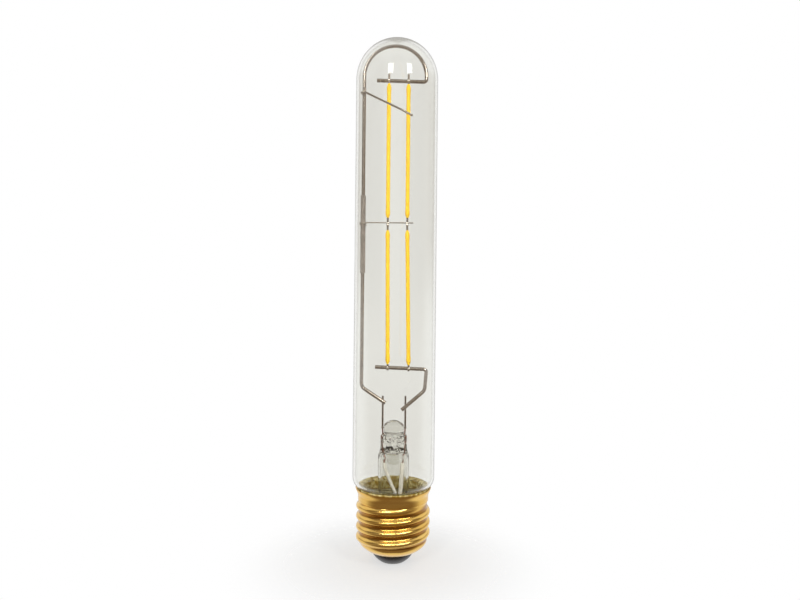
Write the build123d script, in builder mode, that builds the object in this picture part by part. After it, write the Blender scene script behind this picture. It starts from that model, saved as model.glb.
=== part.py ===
from build123d import *
import os
from itertools import pairwise
from math import ceil, cos, floor, pi, radians, sin, sqrt

# A long tubular LED filament bulb with an E27 screw cap, standing cap down.
# Millimetres, +Z up the bulb, origin at the middle of the centre contact's lower face.
# The wire frame lies in the XZ plane and the filaments hang on its front side, towards -Y.

# Glass envelope
overall_length = 185.0
glass_diameter = 29.0
glass_wall = 0.9
crown_wall = 0.9
neck_length = 8.8
shoulder_radius = 4.5
shoulder_rise = 3.9

# Screw cap: sheet shell, rolled thread, insulator and centre contact
sheet = 0.3
cap_height = 26.3
skirt_diameter = 24.9
skirt_height = 4.8
skirt_shoulder = 0.6
rim_spread = 0.9
rim_flare = 2.6
skirt_step = 0.4
thread_depth = 1.05
thread_pitch = 25.4 / 7
thread_crest_at_right = 14.4
thread_run_in = 0.3
thread_fade = 110
thread_facets = 24
thread_strips = 6
thread_width_share = 0.45
thread_root_sink = 0.06
thread_body_sink = 0.25
cone_height = 3.9
cone_knee_diameter = 21.2
cone_knee_height = 1.9
insulator_height = 6.0
insulator_face_diameter = 9.0
insulator_edge_diameter = 14.6
insulator_knee_diameter = 12.4
insulator_knee_height = 1.9
shell_edge_height = 3.85
contact_diameter = 7.0
contact_thickness = 0.8
contact_proud = 0.5
contact_chamfer = 0.3
rivet_diameter = 2.4
rivet_rise = 0.5
cement_thickness = 0.75
cement_fill = 0.9

# Glass stem with its flare, press, knob and tipped-off exhaust tube
stem_diameter = 11.0
stem_wall = 0.8
flare_height = 5.0
press_bottom = 38.6
press_width = 9.4
press_thickness = 4.8
press_height = 6.2
press_taper = 2.0
press_ledge = 0.3
knob_diameter = 7.0
knob_waist_diameter = 5.4
knob_top_diameter = 2.8
knob_side_height = 3.0
knob_waist_height = 4.2
knob_height = 5.0
exhaust_diameter = 4.6
exhaust_length = 4.4
exhaust_tip_diameter = 1.6
exhaust_tip_taper = 1.4

# Lead wires through the press, and their sleeves
lead_spread = 4.05
inner_lead_diameter = 0.65
inner_lead_length = 11.2
dumet_diameter = 0.5
dumet_rise = 2.3
outer_lead_diameter = 0.5
press_exit_spread = 3.5
press_exit_front = 0.5
left_sleeve_diameter = 1.1
right_sleeve_diameter = 1.4
sleeve_bore_play = 0.1
lead_front = 2.3
lead_turn_spread = 2.9
lead_turn_drop = 5.1
lead_meet_drop = 14.1
left_lead_foot = 0.7
right_lead_foot = 2.5
lead_bend = 1.5
sleeve_cut_back = 0.8
sleeve_top_cut = 3.4

# Bent frame wires that carry the filaments
frame_diameter = 1.35
left_rod_clearance = 1.2
right_rod_clearance = 2.5
crown_clearance = 0.3
crossbar_drop = 1.0
crossbar_bend = 1.05
upper_bar_tip = 7.2
upper_bar_fall = 0.4
rod_bend = 2.5
rod_bend_rise = 3.3
long_foot_spread = 3.1
long_foot_drop = 2.4
short_foot_spread = 2.7
short_foot_drop = 4.8
short_rod_clearance = 1.5
short_rod_lean = 0.6
short_bend_rise = 2.2
lower_bar_rise = 9.7
lower_bar_tip = 6.9
lower_bar_fall = 0.7

# Sleeve on the rod, and the two thin support wires
rod_sleeve_diameter = 1.87
rod_sleeve_length = 27.5
rod_sleeve_below_mid = 17.8
rod_sleeve_play = 0.04
mid_wire_diameter = 0.4
mid_wire_offset = 0.8
mid_wire_tip = 6.2
mid_wrap_angle = 630
mid_wrap_pitch = 0.62
mid_wrap_ease = 90
mid_wrap_step = 15
steady_wire_diameter = 0.7
steady_below_bar = 4.1
steady_touch_drop = 9.7
steady_touch_right = 2.0
steady_tip_right = 5.2
steady_tip_drop = 1.4
steady_tip_clearance = 0.3
steady_hook_tail = 0.5
steady_bend = 0.8

# LED filaments and their end tabs
filament_left = -2.85
filament_right = 4.05
filament_left_foot = -2.4
filament_right_foot = 5.0
filament_diameter = 1.45
filament_bulge_diameter = 1.65
filament_tip_diameter = 0.8
filament_taper = 1.6
filament_bulge_length = 2.4
filament_bar_gap = 1.3
filament_mid_gap_above = 1.7
filament_mid_gap_below = 2.7
tab_width = 0.7
tab_thickness = 0.2
upper_tab_rise = 2.3
lower_tab_drop = 0.9
mid_tab_drop = 0.5

# Driver inside the cap
board_height = 12.0
board_thickness = 1.0
board_edge_play = 0.25
capacitor_diameter = 6.3
capacitor_length = 5.4
capacitor_place = (5.2, 3.6)
rectifier_size = (4.7, 3.8, 1.5)
rectifier_place = (-5.0, 3.0)
chip_size = (4.9, 3.9, 1.4)
chip_place = (5.0, 4.0)
resistor_diameter = 2.3
resistor_body = 3.4
resistor_lead_diameter = 0.6
neutral_wire_diameter = 0.6
neutral_drop = 3.2
neutral_inset = 2.6

# Fits
weld_gap = 0.02
joint_gap = 0.05
seal_play = 0.02
cement_play = 0.03


def bent_wire(points, bends, diameter):
    """Round wire along straight stretches, with one bend radius for each inner point."""
    with BuildPart() as wire:
        with BuildLine() as run:
            FilletPolyline(*points, radius=bends)
        with BuildSketch(Plane(origin=run.line @ 0, z_dir=run.line % 0)):
            Circle(diameter / 2)
        sweep(path=run.line)
    return wire.part


def straight_wire(start, end, diameter):
    """Round wire between two points."""
    along = Vector(*end) - Vector(*start)
    with BuildPart() as wire:
        with BuildSketch(Plane(origin=start, z_dir=along)):
            Circle(diameter / 2)
        extrude(amount=along.length)
    return wire.part


# Glass envelope: drawn tube with a blown dome, rolled in at the shoulder to a neck.
glass_radius = glass_diameter / 2
bore_radius = glass_radius - glass_wall
neck_diameter = skirt_diameter - 2 * (sheet + cement_thickness)
neck_radius = neck_diameter / 2
neck_bore_radius = neck_radius - glass_wall
dome_z = overall_length - glass_radius
inner_crown_z = overall_length - crown_wall
inner_dome_z = inner_crown_z - bore_radius
shoulder_z = cap_height + shoulder_rise
shoulder_centre = glass_radius - shoulder_radius
inner_shoulder_radius = shoulder_radius - glass_wall
neck_top_z = shoulder_z - sqrt(shoulder_radius**2 - (neck_radius - shoulder_centre) ** 2)
inner_neck_rise = sqrt(inner_shoulder_radius**2 - (neck_bore_radius - shoulder_centre) ** 2)
inner_neck_top_z = shoulder_z - inner_neck_rise
neck_foot_z = neck_top_z - neck_length

with BuildPart() as glass_envelope:
    with BuildSketch(Plane.XZ):
        with BuildLine():
            dome = CenterArc((0, dome_z), glass_radius, 90, -90)
            shoulder_start = (glass_radius, shoulder_z)
            Line(dome @ 1, shoulder_start)
            shoulder = RadiusArc(shoulder_start, (neck_radius, neck_top_z), shoulder_radius)
            Polyline(
                shoulder @ 1,
                (neck_radius, neck_foot_z),
                (neck_bore_radius, neck_foot_z),
                (neck_bore_radius, inner_neck_top_z),
            )
            RadiusArc((neck_bore_radius, inner_neck_top_z), (bore_radius, shoulder_z), -inner_shoulder_radius)
            Line((bore_radius, shoulder_z), (bore_radius, inner_dome_z))
            inner_dome = CenterArc((0, inner_dome_z), bore_radius, 0, 90)
            Line(inner_dome @ 1, dome @ 0)
        make_face()
    revolve(axis=Axis.Z)
glass_envelope.part.label = "glass_envelope"

# Glass stem: flared tube, closed above by a pinched press with a rounded knob on it.
stem_radius = stem_diameter / 2
stem_bore_radius = stem_radius - stem_wall
flare_z = neck_foot_z
flare_end = neck_bore_radius - joint_gap
flare_top_z = flare_z + flare_height
press_shoulder_z = press_bottom + press_taper
press_top_z = press_bottom + press_height
knob_top_z = press_top_z + knob_height
exhaust_tip_z = press_bottom - exhaust_length

weld_back = frame_diameter / 2 + weld_gap + inner_lead_diameter / 2
dumet_top_z = press_top_z + dumet_rise


def dumet_line(side):
    """Both ends of the seal wire on one side: weld above the press, exit below it."""
    top = (side * lead_spread, weld_back, dumet_top_z)
    foot = (side * press_exit_spread, -press_exit_front, press_bottom - joint_gap)
    return foot, top


with BuildPart() as glass_stem:
    with BuildSketch(Plane.XZ):
        with BuildLine():
            Line((0, press_bottom), (stem_bore_radius, press_bottom))
            Line((stem_bore_radius, press_bottom), (stem_bore_radius, flare_top_z))
            Polyline(
                (stem_bore_radius, flare_top_z),
                (flare_end, flare_z - stem_wall),
                (neck_radius, flare_z - stem_wall),
                (neck_radius, flare_z),
                (flare_end, flare_z),
                (stem_radius, flare_top_z),
                (stem_radius, press_bottom),
                (press_width / 2 + press_ledge, press_shoulder_z),
                (0, press_shoulder_z),
                (0, press_bottom),
            )
        make_face()
    revolve(axis=Axis.Z)
    with BuildSketch(Plane.XY.offset(press_shoulder_z)):
        SlotOverall(press_width, press_thickness)
    extrude(amount=press_top_z - press_shoulder_z)
    with BuildSketch(Plane.XZ):
        with BuildLine():
            Polyline(
                (0, press_top_z),
                (knob_diameter / 2, press_top_z),
                (knob_diameter / 2, press_top_z + knob_side_height),
                (knob_waist_diameter / 2, press_top_z + knob_waist_height),
                (knob_top_diameter / 2, knob_top_z),
                (0, knob_top_z),
                close=True,
            )
        make_face()
    revolve(axis=Axis.Z)
    with BuildSketch(Plane.XZ):
        with BuildLine():
            Polyline(
                (0, press_bottom),
                (0, exhaust_tip_z),
                (exhaust_tip_diameter / 2, exhaust_tip_z),
                (exhaust_diameter / 2, exhaust_tip_z + exhaust_tip_taper),
                (exhaust_diameter / 2, press_bottom),
                close=True,
            )
        make_face()
    revolve(axis=Axis.Z)
    for side in (-1, 1):
        foot, top = dumet_line(side)
        add(straight_wire(foot, top, dumet_diameter + 2 * seal_play), mode=Mode.SUBTRACT)
glass_stem.part.label = "glass_stem"

# Lead wires: nickel above, a short copper-clad seal wire in the press, a tail below.
lead_foot_z = dumet_top_z + joint_gap
lead_top_z = lead_foot_z + inner_lead_length


def inner_lead(side):
    """Nickel lead standing on the seal wire of one side."""
    foot = (side * lead_spread, weld_back, lead_foot_z)
    top = (side * lead_spread, weld_back, lead_top_z)
    return straight_wire(foot, top, inner_lead_diameter)


with BuildPart() as inner_lead_left:
    add(inner_lead(-1))
inner_lead_left.part.label = "inner_lead_left"

with BuildPart() as inner_lead_right:
    add(inner_lead(1))
inner_lead_right.part.label = "inner_lead_right"

with BuildPart() as dumet_seal_left:
    add(straight_wire(*dumet_line(-1), dumet_diameter))
dumet_seal_left.part.label = "dumet_seal_left"

with BuildPart() as dumet_seal_right:
    add(straight_wire(*dumet_line(1), dumet_diameter))
dumet_seal_right.part.label = "dumet_seal_right"

board_top_z = board_height + board_thickness


def lead_route(side, foot_x):
    """Points of a tail lead from the press down through the neck to the driver board."""
    return [
        (side * press_exit_spread, -press_exit_front, press_bottom - 2 * joint_gap - dumet_diameter / 2),
        (side * lead_turn_spread, -lead_front, press_bottom - lead_turn_drop),
        (foot_x, -lead_front, press_bottom - lead_meet_drop),
        (foot_x, -lead_front, board_top_z + joint_gap),
    ]


def lead_sleeve(side, foot_x, diameter):
    """Sleeve over a tail lead, cut back below the press and a little above the board."""
    top, turn, meet, foot = [Vector(*point) for point in lead_route(side, foot_x)]
    start = top + (turn - top).normalized() * sleeve_top_cut
    end = foot + (meet - foot).normalized() * sleeve_cut_back
    with BuildPart() as sleeve:
        with BuildLine() as run:
            FilletPolyline(start, turn, meet, end, radius=lead_bend)
        with BuildSketch(Plane(origin=run.line @ 0, z_dir=run.line % 0)):
            Circle(diameter / 2)
            Circle(outer_lead_diameter / 2 + sleeve_bore_play, mode=Mode.SUBTRACT)
        sweep(path=run.line)
    return sleeve.part


with BuildPart() as outer_lead_left:
    add(bent_wire(lead_route(-1, left_lead_foot), lead_bend, outer_lead_diameter))
outer_lead_left.part.label = "outer_lead_left"

with BuildPart() as outer_lead_right:
    add(bent_wire(lead_route(1, right_lead_foot), lead_bend, outer_lead_diameter))
outer_lead_right.part.label = "outer_lead_right"

with BuildPart() as lead_sleeve_left:
    add(lead_sleeve(-1, left_lead_foot, left_sleeve_diameter))
lead_sleeve_left.part.label = "lead_sleeve_left"

with BuildPart() as lead_sleeve_right:
    add(lead_sleeve(1, right_lead_foot, right_sleeve_diameter))
lead_sleeve_right.part.label = "lead_sleeve_right"

# Frame wires: each is one length of nickel-plated wire, bent in the XZ plane.
frame_radius = frame_diameter / 2
left_rod_x = -(bore_radius - left_rod_clearance - frame_radius)
right_rod_x = bore_radius - right_rod_clearance - frame_radius
hoop_top_z = inner_crown_z - crown_clearance - frame_radius
hoop_radius = (right_rod_x - left_rod_x) / 2 - joint_gap
upper_bar_z = hoop_top_z - hoop_radius - crossbar_drop - crossbar_bend
upper_bar_slope = upper_bar_fall / (right_rod_x + upper_bar_tip)

with BuildPart() as frame_wire_long:
    with BuildLine(Plane.XZ) as long_run:
        FilletPolyline(
            (-long_foot_spread, lead_top_z - long_foot_drop),
            (left_rod_x, lead_top_z + rod_bend_rise),
            (left_rod_x, hoop_top_z),
            (right_rod_x, hoop_top_z),
            (right_rod_x, upper_bar_z),
            (-upper_bar_tip, upper_bar_z + upper_bar_fall),
            radius=[rod_bend, hoop_radius, hoop_radius, crossbar_bend],
        )
    with BuildSketch(Plane(origin=long_run.line @ 0, z_dir=long_run.line % 0)):
        Circle(frame_radius)
    sweep(path=long_run.line)
frame_wire_long.part.label = "frame_wire_long"

short_rod_x = bore_radius - short_rod_clearance - frame_radius
lower_bar_z = lead_top_z + lower_bar_rise
lower_bar_slope = lower_bar_fall / (short_rod_x + lower_bar_tip)

with BuildPart() as frame_wire_short:
    with BuildLine(Plane.XZ) as short_run:
        FilletPolyline(
            (short_foot_spread, lead_top_z - short_foot_drop),
            (short_rod_x - short_rod_lean, lead_top_z + short_bend_rise),
            (short_rod_x, lower_bar_z),
            (-lower_bar_tip, lower_bar_z + lower_bar_fall),
            radius=[rod_bend, crossbar_bend],
        )
    with BuildSketch(Plane(origin=short_run.line @ 0, z_dir=short_run.line % 0)):
        Circle(frame_radius)
    sweep(path=short_run.line)
frame_wire_short.part.label = "frame_wire_short"

# Insulating sleeve slipped on the rod, and the thin wires that hook round the rod.
mid_wire_z = (upper_bar_z + lower_bar_z) / 2 + mid_wire_offset
rod_sleeve_foot_z = mid_wire_z - rod_sleeve_below_mid

with BuildPart() as rod_sleeve:
    with BuildSketch(Plane.XY.offset(rod_sleeve_foot_z)):
        with Locations((left_rod_x, 0)):
            Circle(rod_sleeve_diameter / 2)
            Circle(frame_radius + rod_sleeve_play, mode=Mode.SUBTRACT)
    extrude(amount=rod_sleeve_length)
rod_sleeve.part.label = "rod_sleeve"

mid_wrap_radius = (rod_sleeve_diameter + mid_wire_diameter) / 2 + weld_gap


def mid_wrap_point(angle):
    """Point of the thin wire, by the angle that it has wound round the sleeve, sinking as it winds."""
    turn = radians(angle)
    sink = mid_wrap_pitch * angle**2 / (angle + mid_wrap_ease) / 360
    x = left_rod_x - mid_wrap_radius * sin(turn)
    return (x, -mid_wrap_radius * cos(turn), mid_wire_z - sink)


with BuildPart() as mid_support_wire:
    with BuildLine() as mid_run:
        Line((mid_wire_tip, -mid_wrap_radius, mid_wire_z), mid_wrap_point(0))
        Spline(*[mid_wrap_point(angle) for angle in range(0, mid_wrap_angle + 1, mid_wrap_step)])
    with BuildSketch(Plane(origin=mid_run.line @ 0, z_dir=mid_run.line % 0)):
        Circle(mid_wire_diameter / 2)
    sweep(path=mid_run.line)
mid_support_wire.part.label = "mid_support_wire"

steady_radius = steady_wire_diameter / 2
steady_hook_radius = frame_radius + weld_gap + steady_radius
steady_z = upper_bar_z - steady_below_bar
steady_touch_front = sqrt((bore_radius - steady_radius - weld_gap) ** 2 - steady_touch_right**2)
steady_tip_front = sqrt((bore_radius - steady_radius - steady_tip_clearance) ** 2 - steady_tip_right**2)

with BuildPart() as steady_wire:
    add(
        bent_wire(
            [
                (left_rod_x + steady_hook_tail, steady_hook_radius, steady_z),
                (left_rod_x - steady_hook_radius, steady_hook_radius, steady_z),
                (left_rod_x - steady_hook_radius, -steady_hook_radius, steady_z),
                (left_rod_x + steady_hook_tail, -steady_hook_radius, steady_z),
                (steady_touch_right, -steady_touch_front, steady_z - steady_touch_drop),
                (steady_tip_right, -steady_tip_front, steady_z - steady_touch_drop - steady_tip_drop),
            ],
            steady_bend,
            steady_wire_diameter,
        )
    )
steady_wire.part.label = "steady_wire"

# LED filaments: slim phosphor-coated bars in two strings, a metal tab at each end.
bar_front = frame_radius + weld_gap + tab_thickness / 2
mid_front = mid_wrap_radius + mid_wire_diameter / 2 + weld_gap + tab_thickness / 2


def upper_bar_at(x):
    """Height of the upper crossbar's centre line at x."""
    return upper_bar_z + (right_rod_x - x) * upper_bar_slope


def lower_bar_at(x):
    """Height of the lower crossbar's centre line at x."""
    return lower_bar_z + (short_rod_x - x) * lower_bar_slope


def filament(foot, top):
    """Round phosphor bar between two points, with a bulge and a taper at each end."""
    along = Vector(*top) - Vector(*foot)
    bar_radius = filament_diameter / 2
    bulge_radius = filament_bulge_diameter / 2
    tip_radius = filament_tip_diameter / 2
    bulge_end = filament_taper + filament_bulge_length
    across = Vector(0, 1, 0).cross(along)
    with BuildPart() as bar:
        with BuildSketch(Plane(origin=foot, x_dir=across, z_dir=across.cross(along))):
            with BuildLine():
                Polyline(
                    (0, 0),
                    (tip_radius, 0),
                    (bulge_radius, filament_taper),
                    (bar_radius, bulge_end),
                    (bar_radius, along.length - bulge_end),
                    (bulge_radius, along.length - filament_taper),
                    (tip_radius, along.length),
                    (0, along.length),
                    close=True,
                )
            make_face()
        revolve(axis=Axis(foot, along))
    return bar.part


def end_tab(x, front, low_z, high_z):
    """Flat metal tab in front of the wire that it is welded to."""
    with BuildPart() as tab:
        with BuildSketch(Plane.XZ.offset(front - tab_thickness / 2)):
            with Locations((x, (low_z + high_z) / 2)):
                Rectangle(tab_width, high_z - low_z)
        extrude(amount=tab_thickness)
    return tab.part


upper_foot_z = mid_wire_z + filament_mid_gap_above
lower_top_z = mid_wire_z - filament_mid_gap_below
mid_tab_split_z = mid_wire_z - mid_tab_drop

with BuildPart() as filament_upper_left:
    upper_left_top_z = upper_bar_at(filament_left) - filament_bar_gap
    upper_left_top = (filament_left, -bar_front, upper_left_top_z)
    add(filament((filament_left, -mid_front, upper_foot_z), upper_left_top))
filament_upper_left.part.label = "filament_upper_left"

with BuildPart() as filament_upper_right:
    upper_right_top_z = upper_bar_at(filament_right) - filament_bar_gap
    upper_right_top = (filament_right, -bar_front, upper_right_top_z)
    add(filament((filament_right, -mid_front, upper_foot_z), upper_right_top))
filament_upper_right.part.label = "filament_upper_right"

with BuildPart() as filament_lower_left:
    lower_left_foot_z = lower_bar_at(filament_left_foot) + filament_bar_gap
    lower_left_foot = (filament_left_foot, -bar_front, lower_left_foot_z)
    add(filament(lower_left_foot, (filament_left, -mid_front, lower_top_z)))
filament_lower_left.part.label = "filament_lower_left"

with BuildPart() as filament_lower_right:
    lower_right_foot_z = lower_bar_at(filament_right_foot) + filament_bar_gap
    lower_right_foot = (filament_right_foot, -bar_front, lower_right_foot_z)
    add(filament(lower_right_foot, (filament_right, -mid_front, lower_top_z)))
filament_lower_right.part.label = "filament_lower_right"

with BuildPart() as tab_upper_left_top:
    tab_top_z = upper_left_top_z + filament_bar_gap + upper_tab_rise
    add(end_tab(filament_left, bar_front, upper_left_top_z + joint_gap, tab_top_z))
tab_upper_left_top.part.label = "tab_upper_left_top"

with BuildPart() as tab_upper_right_top:
    tab_top_z = upper_right_top_z + filament_bar_gap + upper_tab_rise
    add(end_tab(filament_right, bar_front, upper_right_top_z + joint_gap, tab_top_z))
tab_upper_right_top.part.label = "tab_upper_right_top"

with BuildPart() as tab_upper_left_mid:
    add(end_tab(filament_left, mid_front, mid_tab_split_z, upper_foot_z - joint_gap))
tab_upper_left_mid.part.label = "tab_upper_left_mid"

with BuildPart() as tab_upper_right_mid:
    add(end_tab(filament_right, mid_front, mid_tab_split_z, upper_foot_z - joint_gap))
tab_upper_right_mid.part.label = "tab_upper_right_mid"

with BuildPart() as tab_lower_left_mid:
    add(end_tab(filament_left, mid_front, lower_top_z + joint_gap, mid_tab_split_z - joint_gap))
tab_lower_left_mid.part.label = "tab_lower_left_mid"

with BuildPart() as tab_lower_right_mid:
    add(end_tab(filament_right, mid_front, lower_top_z + joint_gap, mid_tab_split_z - joint_gap))
tab_lower_right_mid.part.label = "tab_lower_right_mid"

with BuildPart() as tab_lower_left_foot:
    tab_foot_z = lower_left_foot_z - filament_bar_gap - lower_tab_drop
    add(end_tab(filament_left_foot, bar_front, tab_foot_z, lower_left_foot_z - joint_gap))
tab_lower_left_foot.part.label = "tab_lower_left_foot"

with BuildPart() as tab_lower_right_foot:
    tab_foot_z = lower_right_foot_z - filament_bar_gap - lower_tab_drop
    add(end_tab(filament_right_foot, bar_front, tab_foot_z, lower_right_foot_z - joint_gap))
tab_lower_right_foot.part.label = "tab_lower_right_foot"

# Cap shell: brass sheet drawn to a cup, flared at the rim and rolled to a knuckle thread.
# The thread is a skin of flat facets whose corners line up with those of its many-sided root.
root_radius = skirt_diameter / 2 - skirt_step
knuckle_radius = (thread_depth**2 + thread_pitch**2 / 4) / (4 * thread_depth)
facet_angle = 360 / thread_facets
rim_diameter = skirt_diameter + 2 * rim_spread
skirt_foot_z = cap_height - skirt_height
cone_top_z = shell_edge_height + cone_height


def knuckle(offset):
    """Height of the rolled profile over its root, at a distance along the axis from the crest."""
    offset = abs(offset)
    if offset <= thread_pitch / 4:
        return thread_depth - knuckle_radius + sqrt(knuckle_radius**2 - offset**2)
    return knuckle_radius - sqrt(knuckle_radius**2 - (thread_pitch / 2 - offset) ** 2)


def thread_ridge(radius):
    """Thread ridge on a root of the given radius, fading out into it at both ends."""
    first = ceil((cone_top_z - thread_run_in - thread_crest_at_right) / thread_pitch * thread_facets)
    last = floor((skirt_foot_z - thread_crest_at_right) / thread_pitch * thread_facets)
    fade_facets = thread_fade / facet_angle
    reach = thread_width_share * thread_pitch
    offsets = [reach * (2 * strip / thread_strips - 1) for strip in range(thread_strips + 1)]
    rings = []
    for step in range(first, last + 1):
        lift = min(1, (step - first) / fade_facets, (last - step) / fade_facets)
        crest_z = thread_crest_at_right + thread_pitch * step / thread_facets
        section = [(radius - thread_root_sink + lift * knuckle(offset), offset) for offset in offsets]
        section = [(radius - thread_body_sink, -reach), *section, (radius - thread_body_sink, reach)]
        turn = radians(step * facet_angle)
        rings.append([Vector(r * cos(turn), r * sin(turn), crest_z + z) for r, z in section])
    facets = [Face(Wire.make_polygon(rings[0][::-1])), Face(Wire.make_polygon(rings[-1]))]
    for near, far in pairwise(rings):
        for (a, b), (c, d) in zip(pairwise(near + near[:1]), pairwise(far + far[:1])):
            facets.append(Face(Wire.make_polygon([a, b, d])))
            facets.append(Face(Wire.make_polygon([a, d, c])))
    return Solid(Shell(facets))


def cap_body(inset):
    """Solid filling the cap's form, set in from its outer skin by the given amount."""
    rim = rim_diameter / 2 - inset
    skirt = skirt_diameter / 2 - inset
    root = root_radius + thread_root_sink - inset
    edge = insulator_edge_diameter / 2 - inset
    with BuildPart() as body:
        with BuildSketch(Plane.XY.offset(cone_top_z)):
            RegularPolygon(root, thread_facets)
        extrude(amount=skirt_foot_z + joint_gap - cone_top_z)
        add(thread_ridge(root))
        with BuildSketch(Plane.XZ):
            with BuildLine():
                Polyline(
                    (0, skirt_foot_z),
                    (root - joint_gap, skirt_foot_z),
                    (skirt, skirt_foot_z + skirt_shoulder),
                    (skirt, cap_height - rim_flare),
                    (rim, cap_height),
                    (0, cap_height),
                    close=True,
                )
            make_face()
        revolve(axis=Axis.Z)
        with BuildSketch(Plane.XZ):
            with BuildLine():
                Polyline(
                    (edge, shell_edge_height),
                    (cone_knee_diameter / 2 - inset, shell_edge_height + cone_knee_height),
                    (root, cone_top_z),
                    (0, cone_top_z),
                    (0, shell_edge_height),
                    close=True,
                )
            make_face()
        revolve(axis=Axis.Z)
    return body.part


with BuildPart() as cap_shell:
    add(cap_body(0))
    add(cap_body(sheet), mode=Mode.SUBTRACT)
cap_shell.part.label = "cap_shell"

# Insulator: black moulded base whose plug fits in the shell's lower edge.
insulator_edge_radius = insulator_edge_diameter / 2
plug_radius = insulator_edge_radius - sheet - joint_gap

with BuildPart() as cap_insulator:
    with BuildSketch(Plane.XZ):
        with BuildLine():
            Polyline(
                (0, contact_proud),
                (insulator_face_diameter / 2, contact_proud),
                (insulator_knee_diameter / 2, insulator_knee_height),
                (insulator_edge_radius, shell_edge_height - joint_gap),
                (plug_radius, shell_edge_height - joint_gap),
                (plug_radius, insulator_height),
                (0, insulator_height),
                close=True,
            )
        make_face()
    revolve(axis=Axis.Z)
    with BuildSketch(Plane.XY.offset(contact_thickness)):
        Circle(contact_diameter / 2 + joint_gap)
    extrude(amount=-contact_thickness, mode=Mode.SUBTRACT)
    with BuildSketch(Plane.XY):
        Circle(rivet_diameter / 2 + seal_play)
    extrude(amount=insulator_height, mode=Mode.SUBTRACT)
cap_insulator.part.label = "cap_insulator"

# Centre contact: pressed brass disc with a rivet shank through the insulator.
with BuildPart() as centre_contact:
    with BuildSketch(Plane.XY):
        Circle(contact_diameter / 2)
    extrude(amount=contact_thickness)
    with BuildSketch(Plane.XY):
        Circle(rivet_diameter / 2)
    extrude(amount=insulator_height + rivet_rise)
    chamfer(centre_contact.edges().group_by(Axis.Z)[0], contact_chamfer)
centre_contact.part.label = "centre_contact"

# Basing cement: ring between the glass neck and the cap's skirt, up under the shoulder.
cement_inner = neck_radius + cement_play
cement_outer = skirt_diameter / 2 - sheet - cement_play
cement_rim = cement_outer + cement_fill * rim_spread - cement_play


def shoulder_underside(radius):
    """Height of the glass shoulder's outer skin at a radius from the axis."""
    return shoulder_z - sqrt(shoulder_radius**2 - (radius - shoulder_centre) ** 2)


with BuildPart() as cement_ring:
    with BuildSketch(Plane.XZ):
        with BuildLine():
            cement_foot_z = skirt_foot_z + skirt_shoulder
            inner_top = (cement_inner, shoulder_underside(cement_inner) - 2 * cement_play)
            middle_top = (cement_outer, shoulder_underside(cement_outer) - 2 * cement_play)
            outer_top = (cement_rim, shoulder_underside(cement_rim) - 2 * cement_play)
            rim_corner = (cement_rim, cap_height - rim_flare * (1 - cement_fill))
            Polyline(
                inner_top,
                (cement_inner, cement_foot_z),
                (cement_outer, cement_foot_z),
                (cement_outer, cap_height - rim_flare),
                rim_corner,
                outer_top,
                middle_top,
                close=True,
            )
        make_face()
    revolve(axis=Axis.Z)
cement_ring.part.label = "cement_ring"

# Driver: round board wedged in the cap, with its few components.
shell_bore_radius = (root_radius + thread_root_sink - sheet) * cos(pi / thread_facets)
board_radius = shell_bore_radius - board_edge_play

with BuildPart() as driver_board:
    with BuildSketch(Plane.XY.offset(board_height)):
        Circle(board_radius)
    extrude(amount=board_thickness)
driver_board.part.label = "driver_board"

with BuildPart() as smoothing_capacitor:
    with BuildSketch(Plane.XY.offset(board_height - joint_gap)):
        with Locations(capacitor_place):
            Circle(capacitor_diameter / 2)
    extrude(amount=-capacitor_length)
smoothing_capacitor.part.label = "smoothing_capacitor"

with BuildPart() as bridge_rectifier:
    with BuildSketch(Plane.XY.offset(board_top_z + joint_gap)):
        with Locations(rectifier_place):
            Rectangle(rectifier_size[0], rectifier_size[1])
    extrude(amount=rectifier_size[2])
bridge_rectifier.part.label = "bridge_rectifier"

with BuildPart() as driver_chip:
    with BuildSketch(Plane.XY.offset(board_top_z + joint_gap)):
        with Locations(chip_place):
            Rectangle(chip_size[0], chip_size[1])
    extrude(amount=chip_size[2])
driver_chip.part.label = "driver_chip"

# Fusible resistor between the contact's rivet and the board.
resistor_foot_z = insulator_height + rivet_rise + joint_gap
resistor_top_z = board_height - joint_gap
resistor_middle_z = (resistor_foot_z + resistor_top_z) / 2

with BuildPart() as fusible_resistor:
    with BuildSketch(Plane.XY.offset(resistor_foot_z)):
        Circle(resistor_lead_diameter / 2)
    extrude(amount=resistor_top_z - resistor_foot_z)
    with BuildSketch(Plane.XY.offset(resistor_middle_z - resistor_body / 2)):
        Circle(resistor_diameter / 2)
    extrude(amount=resistor_body)
fusible_resistor.part.label = "fusible_resistor"

# Neutral wire, straight from the board's underside to the inside of the shell.
with BuildPart() as neutral_wire:
    neutral_foot = (neutral_wire_diameter / 2 + joint_gap - shell_bore_radius, 0, board_height - neutral_drop)
    neutral_top = (neutral_inset - shell_bore_radius, 0, board_height - neutral_wire_diameter)
    add(straight_wire(neutral_foot, neutral_top, neutral_wire_diameter))
neutral_wire.part.label = "neutral_wire"

pieces = [
    glass_envelope,
    glass_stem,
    inner_lead_left,
    inner_lead_right,
    dumet_seal_left,
    dumet_seal_right,
    outer_lead_left,
    outer_lead_right,
    lead_sleeve_left,
    lead_sleeve_right,
    frame_wire_long,
    frame_wire_short,
    rod_sleeve,
    mid_support_wire,
    steady_wire,
    filament_upper_left,
    filament_upper_right,
    filament_lower_left,
    filament_lower_right,
    tab_upper_left_top,
    tab_upper_right_top,
    tab_upper_left_mid,
    tab_upper_right_mid,
    tab_lower_left_mid,
    tab_lower_right_mid,
    tab_lower_left_foot,
    tab_lower_right_foot,
    cap_shell,
    cap_insulator,
    centre_contact,
    cement_ring,
    driver_board,
    smoothing_capacitor,
    bridge_rectifier,
    driver_chip,
    fusible_resistor,
    neutral_wire,
]
os.makedirs("parts", exist_ok=True)
for piece in pieces:
    export_step(piece.part, f"parts/{piece.part.label}.step")
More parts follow.
